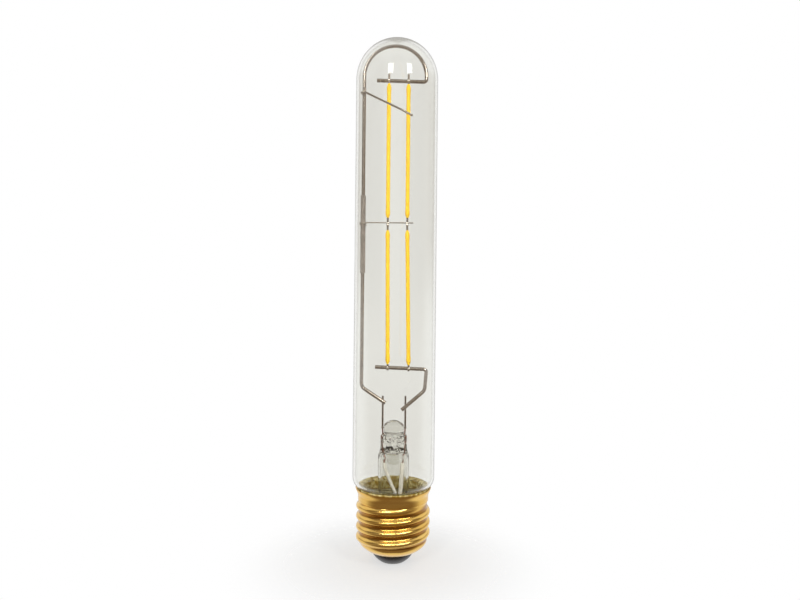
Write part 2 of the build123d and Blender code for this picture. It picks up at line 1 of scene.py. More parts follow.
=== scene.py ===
import math
from itertools import pairwise

import bpy
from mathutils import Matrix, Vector, noise


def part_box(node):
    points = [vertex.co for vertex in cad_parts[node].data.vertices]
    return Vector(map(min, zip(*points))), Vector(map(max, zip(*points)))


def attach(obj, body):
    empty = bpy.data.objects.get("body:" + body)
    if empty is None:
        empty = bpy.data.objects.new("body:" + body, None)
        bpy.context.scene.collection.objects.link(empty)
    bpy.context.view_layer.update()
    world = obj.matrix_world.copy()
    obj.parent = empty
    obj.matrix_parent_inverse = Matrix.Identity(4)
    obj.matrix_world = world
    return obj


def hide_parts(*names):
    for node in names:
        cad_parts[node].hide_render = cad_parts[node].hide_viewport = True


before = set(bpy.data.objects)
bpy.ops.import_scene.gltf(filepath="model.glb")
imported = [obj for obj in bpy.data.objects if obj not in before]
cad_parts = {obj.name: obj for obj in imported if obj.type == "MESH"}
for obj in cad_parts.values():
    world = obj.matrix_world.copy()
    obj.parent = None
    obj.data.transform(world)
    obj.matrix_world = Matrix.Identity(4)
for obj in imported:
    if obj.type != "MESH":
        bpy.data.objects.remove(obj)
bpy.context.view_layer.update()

# Glass stem: a flared glass tube, pinched flat round the seal wires while it was soft, with a
# fire-polished knob above the pinch and the tipped-off end of its exhaust tube inside it.
# It carries the whole wire frame, and its flare is fused to the bulb's neck.
MM = 0.001
LATHE_STEPS = 160
JOIN_WITHIN = 0.002 * MM
stem_low, stem_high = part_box("glass_stem")
flange_radius = stem_high.x
flange_low = stem_low.z
flange_high = flange_low + 0.8 * MM
flange_land = 0.9 * MM
flare_bore = flange_radius - 1.6 * MM
flare_top = flange_high + 5 * MM
bore_foot = flare_top + 1 * MM
tube_radius = 5.5 * MM
tube_bore = 4.7 * MM
bore_shoulder = 1.2 * MM
press_low = 38.6 * MM
press_high = 44.8 * MM
press_half_width = 4.7 * MM
press_thickness = 4.8 * MM
press_squeeze = press_thickness / (2 * press_half_width)
press_taper = 2 * MM
press_edge = 0.8 * MM
press_crown = 0.2 * MM
jaw_low = press_low - 2.5 * MM
jaw_end_low = press_high - 0.4 * MM
jaw_end_high = press_high + 0.6 * MM
jaw_mark_size = 1.1 * MM
jaw_mark_depth = 0.32
knob_radius = 3.5 * MM
knob_root = 0.25 * MM
knob_side_low = press_high + 0.7 * MM
knob_side_high = press_high + 2.7 * MM
knob_round = press_high + 3 * MM
knob_edge = 1.3 * MM
knob_waist = (2.7 * MM, press_high + 4.2 * MM)
knob_flat = 1.4 * MM
knob_top = press_high + 5 * MM
knob_rim = 0.15 * MM
knob_rim_drop = 0.1 * MM
exhaust_radius = 2.3 * MM
exhaust_root = 0.6 * MM
exhaust_round = 1.4 * MM
exhaust_tip = (0.8 * MM, 34.2 * MM)


def linear(hex_colour):
    """Linear RGBA of an sRGB hex colour."""
    channels = [int(hex_colour[place : place + 2], 16) / 255 for place in (1, 3, 5)]
    curve = [c / 12.92 if c <= 0.04045 else ((c + 0.055) / 1.055) ** 2.4 for c in channels]
    return (*curve, 1)


def add_node(tree, kind, inputs, **settings):
    """New node with its settings; an input is a value or the output socket that feeds it."""
    node = tree.nodes.new(kind)
    for name, value in settings.items():
        setattr(node, name, value)
    for name, value in inputs.items():
        if isinstance(value, bpy.types.NodeSocket):
            tree.links.new(value, node.inputs[name])
        else:
            node.inputs[name].default_value = value
    return node


def empty_material(name):
    """Material with an empty node tree."""
    material = bpy.data.materials.new(name)
    material.use_nodes = True
    material.node_tree.nodes.clear()
    return material


def arc(centre, radius, start, end, steps):
    """Points round an arc of a profile, with angles in degrees from outwards towards up."""
    turns = [math.radians(start + (end - start) * step / steps) for step in range(steps + 1)]
    return [(centre[0] + radius * math.cos(t), centre[1] + radius * math.sin(t)) for t in turns]


def ellipse(centre, reach, start, end, steps):
    """Points round a part of an ellipse with the given half width and half height."""
    turns = [math.radians(start + (end - start) * step / steps) for step in range(steps + 1)]
    return [(centre[0] + reach[0] * math.cos(t), centre[1] + reach[1] * math.sin(t)) for t in turns]


def straight(start, end, steps):
    """Points along a straight stretch of a profile, with both its ends."""
    shares = [step / steps for step in range(steps + 1)]
    return [(start[0] + (end[0] - start[0]) * s, start[1] + (end[1] - start[1]) * s) for s in shares]


def turn_on_lathe(name, profile, steps):
    """Piece spun round the Z axis from a profile of (radius, height) points."""
    bpy.ops.object.select_all(action="DESELECT")
    bpy.ops.mesh.primitive_plane_add(size=MM)
    bpy.ops.object.mode_set(mode="EDIT")
    bpy.ops.mesh.merge(type="CENTER")
    bpy.ops.transform.translate(value=(profile[0][0], 0, profile[0][1]))
    for near, far in pairwise(profile):
        step = (far[0] - near[0], 0, far[1] - near[1])
        bpy.ops.mesh.extrude_vertices_move(TRANSFORM_OT_translate={"value": step})
    bpy.ops.mesh.select_all(action="SELECT")
    bpy.ops.mesh.spin(steps=steps, angle=2 * math.pi, center=(0, 0, 0), axis=(0, 0, 1))
    bpy.ops.mesh.select_all(action="SELECT")
    bpy.ops.mesh.remove_doubles(threshold=JOIN_WITHIN)
    bpy.ops.mesh.normals_make_consistent(inside=False)
    bpy.ops.object.mode_set(mode="OBJECT")
    piece = bpy.context.object
    piece.name = name
    return piece


def fit_piece(piece, material, slot, *nodes):
    """Gives a piece its material and body, and hides the solids that it stands for. The slot is not used."""
    piece.data.materials.clear()
    piece.data.materials.append(material)
    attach(piece, "root")
    if nodes:
        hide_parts(*nodes)


def smooth_edges(piece, degrees):
    """Smooth shading, with edges sharper than the angle kept."""
    bpy.ops.object.select_all(action="DESELECT")
    piece.select_set(True)
    bpy.context.view_layer.objects.active = piece
    bpy.ops.object.shade_smooth_by_angle(angle=math.radians(degrees))


def two_tone(tree, share, dark, light, low, high):
    """Colour socket that goes from one colour to the other between two values of a share."""
    ramp = add_node(tree, "ShaderNodeValToRGB", {"Fac": share})
    start, end = ramp.color_ramp.elements
    start.position = low
    end.position = high
    start.color = linear(dark)
    end.color = linear(light)
    return ramp.outputs["Color"]


# Soda-lime glass, fire polished: colourless and sharp in reflection, faintly grey where it is thick.
# Lamps shine through it, so that the wires inside are lit as they are in clear glass.
clear_glass = empty_material("clear_glass_fire_polished")
glass_tree = clear_glass.node_tree
glass_edge = add_node(glass_tree, "ShaderNodeLayerWeight", {"Blend": 0.5})
edge_tone = two_tone(glass_tree, glass_edge.outputs["Facing"], "#F6F6F3", "#84847E", 0.72, 1)
glass_body = add_node(
    glass_tree,
    "ShaderNodeBsdfPrincipled",
    {"Base Color": edge_tone, "Roughness": 0, "IOR": 1.5, "Transmission Weight": 1},
)
lamp_light = add_node(glass_tree, "ShaderNodeBsdfTransparent", {"Color": linear("#F2F1EE")})
glass_path = add_node(glass_tree, "ShaderNodeLightPath", {})
glass_skin = add_node(
    glass_tree,
    "ShaderNodeMixShader",
    {0: glass_path.outputs["Is Shadow Ray"], 1: glass_body.outputs[0], 2: lamp_light.outputs[0]},
)
glass_depth = add_node(
    glass_tree, "ShaderNodeVolumeAbsorption", {"Color": linear("#D8D6CC"), "Density": 60}
)
add_node(
    glass_tree,
    "ShaderNodeOutputMaterial",
    {"Surface": glass_skin.outputs[0], "Volume": glass_depth.outputs[0]},
)

trumpet = (flange_radius - flange_land - tube_radius, flare_top - flange_high)
bore_trumpet = (flare_bore - tube_bore, flare_top - flange_low)
taper_start = press_low - press_taper
taper_end = press_low + press_taper
taper_steps = 10
narrowing = []
for step in range(1, taper_steps + 1):
    share = (1 - math.cos(math.pi * step / taper_steps)) / 2
    height = taper_start + (taper_end - taper_start) * step / taper_steps
    narrowing.append((tube_radius + (press_half_width - tube_radius) * share, height))
stem_profile = [
    (0, exhaust_tip[1]),
    exhaust_tip,
    *arc((exhaust_radius - exhaust_round, exhaust_tip[1] + exhaust_round), exhaust_round, -60, 0, 6),
    (exhaust_radius, press_low - 1.5 * exhaust_root),
    *arc((exhaust_radius + exhaust_root, press_low - exhaust_root), exhaust_root, 180, 90, 5),
    *arc((tube_bore - bore_shoulder, press_low - bore_shoulder), bore_shoulder, 90, 0, 8),
    *straight((tube_bore, taper_start), (tube_bore, bore_foot), 6),
    *ellipse((flare_bore, flare_top), bore_trumpet, 180, 270, 14),
    (flange_radius, flange_low),
    (flange_radius, flange_high),
    *ellipse((flange_radius - flange_land, flare_top), trumpet, 270, 180, 14),
    *straight((tube_radius, flare_top), (tube_radius, taper_start), 8)[1:],
    *narrowing,
    *straight((press_half_width, taper_end), (press_half_width, press_high - press_edge), 17)[1:],
    *arc((press_half_width - press_edge, press_high + press_crown - press_edge), press_edge, 0, 90, 6),
    *arc((knob_radius + knob_root, press_high + 2 * knob_root), knob_root, 270, 180, 4),
    *straight((knob_radius, knob_side_low), (knob_radius, knob_side_high), 5),
    *arc((knob_radius - knob_edge, knob_round), knob_edge, 0, 60, 8),
    knob_waist,
    (knob_flat + knob_rim, knob_top - knob_rim_drop),
    (knob_flat - knob_rim, knob_top),
    (0, knob_top),
]
glass_stem = turn_on_lathe("glass_stem_pinched", stem_profile, LATHE_STEPS)


def eased(value, low, high):
    """Share from 0 to 1 of the way from low to high, eased at both ends."""
    share = min(1, max(0, (value - low) / (high - low)))
    return share * share * (3 - 2 * share)


# The jaws squeeze the soft glass from front and back, and leave their uneven marks on it.
for corner in glass_stem.data.vertices:
    if corner.co.x**2 + corner.co.y**2 > exhaust_radius**2:
        grip = eased(corner.co.z, jaw_low, taper_end) * (1 - eased(corner.co.z, jaw_end_low, jaw_end_high))
        corner.co.y *= 1 - (1 - press_squeeze) * grip
        jaw_mark = noise.noise(corner.co / jaw_mark_size)
        corner.co.y *= 1 + jaw_mark_depth * jaw_mark * grip
smooth_edges(glass_stem, 50)
fit_piece(glass_stem, clear_glass, "clear_glass", "glass_stem")

# Lead wires: nickel above the press, welded to copper-clad seal wires that pass through the glass,
# with copper tails below that run down to the driver. The welds are small melted beads.
sides = ("left", "right")
lead_bead_radius = 0.45 * MM
lead_bead_stretch = (1, 1, 1.3)


def merged_copy(node, name):
    """Copy of a solid's mesh under a new name, its triangles joined and its round sides smooth."""
    piece = bpy.data.objects.new(name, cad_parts[node].data.copy())
    bpy.context.scene.collection.objects.link(piece)
    bpy.ops.object.select_all(action="DESELECT")
    piece.select_set(True)
    bpy.context.view_layer.objects.active = piece
    bpy.ops.mesh.customdata_custom_splitnormals_clear()
    bpy.ops.object.mode_set(mode="EDIT")
    bpy.ops.mesh.select_all(action="SELECT")
    bpy.ops.mesh.remove_doubles(threshold=JOIN_WITHIN)
    bpy.ops.mesh.normals_make_consistent(inside=False)
    bpy.ops.object.mode_set(mode="OBJECT")
    smooth_edges(piece, 35)
    return piece


def melted_bead(name, place, radius, stretch, segments, rings):
    """Bead of melted metal: a ball stretched along the axes."""
    bpy.ops.object.select_all(action="DESELECT")
    bpy.ops.mesh.primitive_uv_sphere_add(segments=segments, ring_count=rings, radius=radius, location=place)
    bead = bpy.context.object
    bead.name = name
    bead.scale = stretch
    bpy.ops.object.transform_apply(location=True, rotation=True, scale=True)
    smooth_edges(bead, 60)
    return bead


def mottled(tree, coordinates, patch_mm, dark, light):
    """Colour socket that wanders between two colours in patches of about the given size."""
    patches = add_node(
        tree, "ShaderNodeTexNoise", {"Vector": coordinates, "Scale": 1 / (patch_mm * MM), "Detail": 4}
    )
    return two_tone(tree, patches.outputs["Fac"], dark, light, 0.3, 0.7)


def wire_metal(name, dark, light, roughness):
    """Drawn wire: metal with faint patches of tarnish and fine drawing marks."""
    material = empty_material(name)
    tree = material.node_tree
    place = add_node(tree, "ShaderNodeTexCoord", {}).outputs["Object"]
    marks = add_node(tree, "ShaderNodeTexNoise", {"Vector": place, "Scale": 1 / (0.12 * MM), "Detail": 3})
    grain = add_node(
        tree, "ShaderNodeBump", {"Height": marks.outputs["Fac"], "Strength": 0.25, "Distance": 0.01 * MM}
    )
    metal = add_node(
        tree,
        "ShaderNodeBsdfPrincipled",
        {
            "Base Color": mottled(tree, place, 0.9, dark, light),
            "Metallic": 1,
            "Roughness": roughness,
            "Normal": grain.outputs["Normal"],
        },
    )
    add_node(tree, "ShaderNodeOutputMaterial", {"Surface": metal.outputs[0]})
    return material


# Nickel wire, drawn bright: a warm grey mirror with a soft streak of light along it.
nickel_wire = wire_metal("nickel_wire_drawn", "#A69B91", "#C8BEB4", 0.12)
# The same wire near the glass, tinted by the sealing flame: darker and browner.
flamed_wire = wire_metal("nickel_wire_flame_tinted", "#786659", "#97867A", 0.18)
# Copper-clad seal wire, oxidised red-brown where the glass has wetted it.
seal_copper = wire_metal("copper_seal_wire_oxidised", "#755248", "#A07C70", 0.35)

for side in sides:
    lead = merged_copy(f"inner_lead_{side}", f"nickel_lead_{side}")
    fit_piece(lead, flamed_wire, "nickel_wire", f"inner_lead_{side}")
    seal = merged_copy(f"dumet_seal_{side}", f"seal_wire_{side}")
    fit_piece(seal, seal_copper, "copper_wire", f"dumet_seal_{side}")
    tail = merged_copy(f"outer_lead_{side}", f"copper_tail_{side}")
    fit_piece(tail, seal_copper, "copper_wire", f"outer_lead_{side}")
    lead_low, lead_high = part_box(f"inner_lead_{side}")
    bead_place = ((lead_low.x + lead_high.x) / 2, (lead_low.y + lead_high.y) / 2, lead_low.z)
    bead = melted_bead(f"weld_bead_{side}", bead_place, lead_bead_radius, lead_bead_stretch, 24, 16)
    fit_piece(bead, nickel_wire, "nickel_wire")

# Lead sleeves: thin braided glass-fibre tubes slipped over the copper tails, so that they can't touch.
# They come down through the flare in a V and end at the driver board.
strand_mm = 0.3
# Bleached glass-fibre braid: white and matt, with a fine criss-cross of strands.
braid = empty_material("glass_fibre_braid_white")
braid_tree = braid.node_tree
braid_place = add_node(braid_tree, "ShaderNodeTexCoord", {}).outputs["Object"]
strand_heights = []
for lean in (1, -1):
    slanted = add_node(
        braid_tree, "ShaderNodeMapping", {"Vector": braid_place, "Rotation": (0, lean * math.radians(45), 0)}
    )
    strands = add_node(
        braid_tree,
        "ShaderNodeTexWave",
        {"Vector": slanted.outputs[0], "Scale": math.pi / (10 * strand_mm * MM)},
        bands_direction="X",
    )
    strand_heights.append(strands.outputs["Fac"])
over, under = strand_heights
woven = add_node(braid_tree, "ShaderNodeMath", {0: over, 1: under}, operation="MAXIMUM")
braid_bump = add_node(
    braid_tree, "ShaderNodeBump", {"Height": woven.outputs[0], "Strength": 0.5, "Distance": 0.05 * MM}
)
braid_body = add_node(
    braid_tree,
    "ShaderNodeBsdfPrincipled",
    {
        "Base Color": mottled(braid_tree, braid_place, 1.2, "#E2DFDA", "#F4F2EE"),
        "Roughness": 0.8,
        "Normal": braid_bump.outputs["Normal"],
    },
)
add_node(braid_tree, "ShaderNodeOutputMaterial", {"Surface": braid_body.outputs[0]})
for side in sides:
    sleeve = merged_copy(f"lead_sleeve_{side}", f"braided_sleeve_{side}")
    fit_piece(sleeve, braid, "white_sleeving", f"lead_sleeve_{side}")

# Frame wires: two lengths of nickel wire, bent to carry the filaments and welded to the leads.
# The long one goes up the left side and over in a hoop, and each ends in a crossbar.
for span in ("long", "short"):
    wire = merged_copy(f"frame_wire_{span}", f"bent_wire_{span}")
    fit_piece(wire, nickel_wire, "nickel_wire", f"frame_wire_{span}")

# Rod sleeve: a tight tube on the left rod, which keeps the support wire off it.
# Coated glass-fibre tube: matt grey-brown, with a fine even weave.
rod_tube = empty_material("coated_fibre_tube_grey")
tube_tree = rod_tube.node_tree
tube_place = add_node(tube_tree, "ShaderNodeTexCoord", {}).outputs["Object"]
tube_weave = add_node(tube_tree, "ShaderNodeTexVoronoi", {"Vector": tube_place, "Scale": 1 / (0.25 * MM)})
tube_bump = add_node(
    tube_tree,
    "ShaderNodeBump",
    {"Height": tube_weave.outputs["Distance"], "Strength": 0.5, "Distance": 0.04 * MM},
)
tube_body = add_node(
    tube_tree,
    "ShaderNodeBsdfPrincipled",
    {
        "Base Color": mottled(tube_tree, tube_place, 1.5, "#7E756D", "#948A81"),
        "Roughness": 0.65,
        "Normal": tube_bump.outputs["Normal"],
    },
)
add_node(tube_tree, "ShaderNodeOutputMaterial", {"Surface": tube_body.outputs[0]})
sleeve = merged_copy("rod_sleeve", "coated_rod_sleeve")
fit_piece(sleeve, rod_tube, "rod_sleeving", "rod_sleeve")

# Support wires: thin springy wires hooked round the left rod. The middle one holds the filaments'
# inner ends, and the upper one leans on the glass so that the frame can't shake.
# Molybdenum wire, drawn: a warm grey with a dull streak of light along it.
support_metal = wire_metal("molybdenum_wire_drawn", "#A0958A", "#C6BBAF", 0.3)
for wire_name in ("mid_support_wire", "steady_wire"):
    wire = merged_copy(wire_name, f"hooked_{wire_name}")
    fit_piece(wire, support_metal, "nickel_wire", wire_name)

# LED filaments: slim bars of chips cast in silicone with yellow phosphor, thicker near their ends.
# Each hangs by a metal tab at either end.
bar_radius = 0.725 * MM
bulge_radius = 0.825 * MM
tip_radius = 0.4 * MM
tip_taper = 1.6 * MM
tip_fullness = 1.15
bulge_length = 2.4 * MM
end_steps = 8
bar_sides = 40
# Phosphor in silicone: saturated yellow with a satin, finely grained skin.
phosphor = empty_material("phosphor_silicone_satin")
phosphor_tree = phosphor.node_tree
phosphor_place = add_node(phosphor_tree, "ShaderNodeTexCoord", {}).outputs["Object"]
grains = add_node(phosphor_tree, "ShaderNodeTexNoise", {"Vector": phosphor_place, "Scale": 1 / (0.2 * MM)})
grain_bump = add_node(
    phosphor_tree,
    "ShaderNodeBump",
    {"Height": grains.outputs["Fac"], "Strength": 0.3, "Distance": 0.02 * MM},
)
phosphor_body = add_node(
    phosphor_tree,
    "ShaderNodeBsdfPrincipled",
    {
        "Base Color": mottled(phosphor_tree, phosphor_place, 1.6, "#FFC800", "#FFD524"),
        "Roughness": 0.45,
        "Specular IOR Level": 0.25,
        "Normal": grain_bump.outputs["Normal"],
    },
)
add_node(phosphor_tree, "ShaderNodeOutputMaterial", {"Surface": phosphor_body.outputs[0]})
for row in ("upper", "lower"):
    for side in sides:
        low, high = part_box(f"filament_{row}_{side}")
        front, back = low.y + bulge_radius, high.y - bulge_radius
        foot = Vector((high.x - bulge_radius, front if row == "upper" else back, low.z))
        top = Vector((low.x + bulge_radius, back if row == "upper" else front, high.z))
        length = (top - foot).length
        end = [(0, 0)]
        for step in range(end_steps + 1):
            swell = math.sin(math.pi / 2 * step / end_steps) ** tip_fullness
            end.append((tip_radius + (bulge_radius - tip_radius) * swell, tip_taper * step / end_steps))
        for step in range(1, end_steps + 1):
            thinning = eased(step / end_steps, 0, 1) * (bulge_radius - bar_radius)
            end.append((bulge_radius - thinning, tip_taper + bulge_length * step / end_steps))
        profile = end + [(radius, length - height) for radius, height in reversed(end)]
        bar = turn_on_lathe(f"phosphor_bar_{row}_{side}", profile, bar_sides)
        bar.location = foot
        bar.rotation_euler = (top - foot).to_track_quat("Z", "Y").to_euler()
        bpy.ops.object.transform_apply(location=True, rotation=True, scale=True)
        smooth_edges(bar, 60)
        fit_piece(bar, phosphor, "phosphor", f"filament_{row}_{side}")

# End tabs: flat strips of nickel from the filaments' ends, spot-welded to the wires.
# Each weld shows as a small bright dot.
# Nickel strip, rolled: a warm grey, darker than the bright wires.
tab_metal = wire_metal("nickel_strip_rolled", "#7C6F64", "#A79A8E", 0.25)
# Melted nickel: a bright bead.
weld_metal = wire_metal("nickel_spot_weld", "#DCD4C8", "#F2ECE2", 0.2)
tab_bevel = 0.06 * MM
weld_reach = 1.25 * MM
mid_reach = 0.25 * MM
weld_radius = 0.5 * MM
weld_flatness = (1, 0.4, 1)
for row, place in (("upper", "top"), ("upper", "mid"), ("lower", "mid"), ("lower", "foot")):
    for side in sides:
        node_name = f"tab_{row}_{side}_{place}"
        tab = merged_copy(node_name, f"strip_{row}_{side}_{place}")
        rounding = tab.modifiers.new("rounding", "BEVEL")
        rounding.width = tab_bevel
        rounding.segments = 2
        bpy.ops.object.modifier_apply(modifier="rounding")
        low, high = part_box(node_name)
        if place == "mid":
            weld_z = low.z + mid_reach if row == "upper" else high.z - mid_reach
        else:
            weld_z = low.z + weld_reach if place == "top" else high.z - weld_reach
        weld_place = ((low.x + high.x) / 2, low.y, weld_z)
        weld = melted_bead(f"spot_weld_{row}_{side}_{place}", weld_place, weld_radius, weld_flatness, 20, 12)
        fit_piece(weld, weld_metal, "nickel_tab")
        smooth_edges(tab, 40)
        fit_piece(tab, tab_metal, "nickel_tab", node_name)

# Envelope: a drawn glass tube with a blown dome, rolled in at the foot to the neck that the cap grips.
# It is closed on the stem's flare, so it is sealed all round.
glass_low, glass_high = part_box("glass_envelope")
glass_radius = glass_high.x
glass_wall = 0.9 * MM
crown_wall = 0.9 * MM
neck_radius = 11.4 * MM
shoulder_z = 30.2 * MM
shoulder_radius = 4.5 * MM
bore_radius = glass_radius - glass_wall
dome_z = glass_high.z - glass_radius
inner_dome_z = glass_high.z - crown_wall - bore_radius
shoulder_centre = glass_radius - shoulder_radius
neck_turn = -math.degrees(math.acos((neck_radius - shoulder_centre) / shoulder_radius))
inner_shoulder = shoulder_radius - glass_wall
lip_radius = 1.0 * MM
lip_across = neck_radius - glass_wall + lip_radius - shoulder_centre
lip_lean = math.asin(lip_across / (inner_shoulder + lip_radius))
neck_lip = (shoulder_centre + lip_across, shoulder_z - (inner_shoulder + lip_radius) * math.cos(lip_lean))
dome_steps = 32
shoulder_steps = 14
lip_steps = 8
tube_rings = 24
ring_places = [(1 - math.cos(math.pi * k / tube_rings)) / 2 for k in range(1, tube_rings)]
outer_tube = [(glass_radius, dome_z + (shoulder_z - dome_z) * place) for place in ring_places]
inner_tube = [(bore_radius, shoulder_z + (inner_dome_z - shoulder_z) * place) for place in ring_places]
envelope_profile = [
    *arc((0, dome_z), glass_radius, 90, 0, dome_steps),
    *outer_tube,
    *arc((shoulder_centre, shoulder_z), shoulder_radius, 0, neck_turn, shoulder_steps),
    (neck_radius, glass_low.z),
    (neck_radius - glass_wall, glass_low.z),
    *arc(neck_lip, lip_radius, 180, 90 + math.degrees(lip_lean), lip_steps),
    *arc((shoulder_centre, shoulder_z), inner_shoulder, math.degrees(lip_lean) - 90, 0, shoulder_steps),
    *inner_tube,
    *arc((0, inner_dome_z), bore_radius, 0, 90, dome_steps),
]
envelope = turn_on_lathe("glass_envelope_blown", envelope_profile, LATHE_STEPS)
smooth_edges(envelope, 50)
fit_piece(envelope, clear_glass, "clear_glass", "glass_envelope")

# Driver: a round board in the cap with a rectifier, a chip, a capacitor and a fusible resistor.
# Only its top shows, dimly, through the stem's flare.


def dress(node, material):
    """Gives a solid that keeps its own mesh a material."""
    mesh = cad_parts[node].data
    mesh.materials.clear()
    mesh.materials.append(material)


def plain_finish(name, dark, light, patch_mm, roughness, metallic):
    """Even finish with a faint mottle and a slight unevenness of its shine."""
    material = empty_material(name)
    tree = material.node_tree
    place = add_node(tree, "ShaderNodeTexCoord", {}).outputs["Object"]
    uneven = add_node(
        tree, "ShaderNodeTexNoise", {"Vector": place, "Scale": 1 / (patch_mm * MM), "Detail": 3}
    )
    skin = add_node(
        tree, "ShaderNodeBump", {"Height": uneven.outputs["Fac"], "Strength": 0.2, "Distance": 0.03 * MM}
    )
    body = add_node(
        tree,
        "ShaderNodeBsdfPrincipled",
        {
            "Base Color": mottled(tree, place, patch_mm, dark, light),
            "Roughness": roughness,
            "Metallic": metallic,
            "Normal": skin.outputs["Normal"],
        },
    )
    add_node(tree, "ShaderNodeOutputMaterial", {"Surface": body.outputs[0]})
    return material


# Coated glass-epoxy laminate: a dull, faintly mottled green.
dress("driver_board", plain_finish("glass_epoxy_board_green", "#76836A", "#95A088", 1.0, 0.5, 0))
# Aluminium can, deep drawn: pale grey with a soft shine.
dress("smoothing_capacitor", plain_finish("aluminium_can_drawn", "#A9ABAE", "#C6C8CA", 1.5, 0.3, 1))
# Black epoxy moulding: matt, with a faint grain.
epoxy_moulding = plain_finish("epoxy_moulding_black", "#1B1B1C", "#2A2A2B", 0.4, 0.6, 0)
dress("bridge_rectifier", epoxy_moulding)
dress("driver_chip", epoxy_moulding)
# Lacquered ceramic body: slate blue with a satin gloss.
dress("fusible_resistor", plain_finish("lacquered_ceramic_blue", "#4C6B78", "#6A8894", 0.8, 0.35, 0))
# Tinned copper wire: warm grey, with fine drawing marks.
dress("neutral_wire", wire_metal("copper_wire_tinned", "#9A8D80", "#B9AEA2", 0.3))

# Cap shell: a cup of thin brass sheet, flared at the rim, with a coarse round thread rolled into it.
# It is cemented to the neck and staked at one spot on its rim.
cap_low, cap_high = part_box("cap_shell")
sheet = 0.3 * MM
rim_radius = cap_high.x
skirt_radius = 12.45 * MM
root_radius = 12.05 * MM
thread_depth = 1.05 * MM
thread_pitch = 25.4 / 7 * MM
thread_crest_at_right = 14.4 * MM
thread_fade_turns = 110 / 360
thread_low = 7.45 * MM
skirt_foot = cap_high.z - 4.8 * MM
skirt_shoulder = 0.6 * MM
rim_flare = 2.6 * MM
cone_top = 7.75 * MM
cone_knee = (10.6 * MM, 5.75 * MM)
cone_edge = (7.3 * MM, cap_low.z)
knuckle_radius = (thread_depth**2 + thread_pitch**2 / 4) / (4 * thread_depth)
painted_shade_run = 0.6 * MM
stake = Vector((-12.9 * MM, -2.4 * MM, 25.7 * MM))
stake_reach = 1.2 * MM
stake_depth = 0.75 * MM
cap_rings = 130


def through(points, height):
    """Radius at a height on the smooth curve through three (radius, height) points."""
    total = 0
    for here, (radius, level) in enumerate(points):
        others = [other for place, (_, other) in enumerate(points) if place != here]
        total += radius * math.prod((height - other) / (level - other) for other in others)
    return total


def cap_radius(height):
    """Radius of the cap's sheet before the thread is rolled."""
    if height < cone_top:
        return through((cone_edge, cone_knee, (root_radius, cone_top)), height)
    skirt_step = (skirt_radius - root_radius) * eased(height, skirt_foot, skirt_foot + skirt_shoulder)
    rim_spread = (rim_radius - skirt_radius) * eased(height, cap_high.z - rim_flare, cap_high.z)
    return root_radius + skirt_step + rim_spread


def knuckle(offset):
    """Height of the rolled profile at a distance along the axis from its crest."""
    offset = abs(offset)
    if offset > thread_pitch / 2:
        return 0
    if offset <= thread_pitch / 4:
        return thread_depth - knuckle_radius + math.sqrt(knuckle_radius**2 - offset**2)
    return knuckle_radius - math.sqrt(knuckle_radius**2 - (thread_pitch / 2 - offset) ** 2)


def rolled_height(turn, height):
    """How far the rolled thread stands out at a part of a turn and a height."""
    first = (thread_low - thread_crest_at_right) / thread_pitch
    last = (skirt_foot - thread_crest_at_right) / thread_pitch
    best = 0
    nearest = round((height - thread_crest_at_right) / thread_pitch - turn)
    for whole in (nearest - 1, nearest, nearest + 1):
        along = turn + whole
        lift = min(1, (along - first) / thread_fade_turns, (last - along) / thread_fade_turns)
        if lift > 0:
            best = max(best, lift * knuckle(height - thread_crest_at_right - thread_pitch * along))
    return best


ring_heights = [cap_low.z + (cap_high.z - cap_low.z) * ring / cap_rings for ring in range(cap_rings + 1)]
cap_profile = [(cap_radius(height), height) for height in ring_heights]
cap = turn_on_lathe("brass_cap_rolled", cap_profile, LATHE_STEPS)
# root_shade holds painted shade: 1 deep in the thread's roots, easing to 0 towards the crests and off the
# thread.
root_shade = cap.data.attributes.new("root_shade", "FLOAT", "POINT")
for corner in cap.data.vertices:
    radius = math.hypot(corner.co.x, corner.co.y)
    turn = math.atan2(corner.co.y, corner.co.x) / (2 * math.pi)
    ridge = rolled_height(turn, corner.co.z)
    rolled = max(radius, root_radius + ridge) if corner.co.z > cone_top else radius + ridge
    above_cone = eased(corner.co.z, cone_top, cone_top + painted_shade_run)
    below_skirt = eased(corner.co.z, skirt_foot, skirt_foot - painted_shade_run)
    in_root = 1 - eased(ridge, 0, thread_depth / 4)
    root_shade.data[corner.index].value = above_cone * below_skirt * in_root
    punched = stake_depth * (1 - eased((corner.co - stake).length, 0, stake_reach))
    corner.co.x *= (rolled - punched) / radius
    corner.co.y *= (rolled - punched) / radius
gauge = cap.modifiers.new("sheet", "SOLIDIFY")
gauge.thickness = sheet
gauge.offset = -1
bpy.ops.object.modifier_apply(modifier="sheet")
smooth_edges(cap, 45)

# Brass sheet, bright rolled: deep gold with soft-edged reflections, faintly streaked round its girth.
# It is painted browner in the thread's roots: painted shade for the dark of the deep, hidden roots.
brass = empty_material("brass_sheet_bright_rolled")
brass_tree = brass.node_tree
brass_place = add_node(brass_tree, "ShaderNodeTexCoord", {}).outputs["Object"]
streak_space = add_node(brass_tree, "ShaderNodeMapping", {"Vector": brass_place, "Scale": (0.12, 0.12, 1)})
streaks = add_node(
    brass_tree,
    "ShaderNodeTexNoise",
    {"Vector": streak_space.outputs[0], "Scale": 1 / (0.35 * MM), "Detail": 4},
)
streak_bump = add_node(
    brass_tree,
    "ShaderNodeBump",
    {"Height": streaks.outputs["Fac"], "Strength": 0.015, "Distance": 0.02 * MM},
)
root_depth = add_node(brass_tree, "ShaderNodeAttribute", {}, attribute_name="root_shade")
# Painted shade: the brass's colour goes towards dark brown #9C6B26 where root_shade is high.
painted_root_shade = add_node(
    brass_tree,
    "ShaderNodeMix",
    {
        0: root_depth.outputs["Fac"],
        6: mottled(brass_tree, streak_space.outputs[0], 2.0, "#DCAE54", "#EBC571"),
        7: linear("#9C6B26"),
    },
    data_type="RGBA",
)
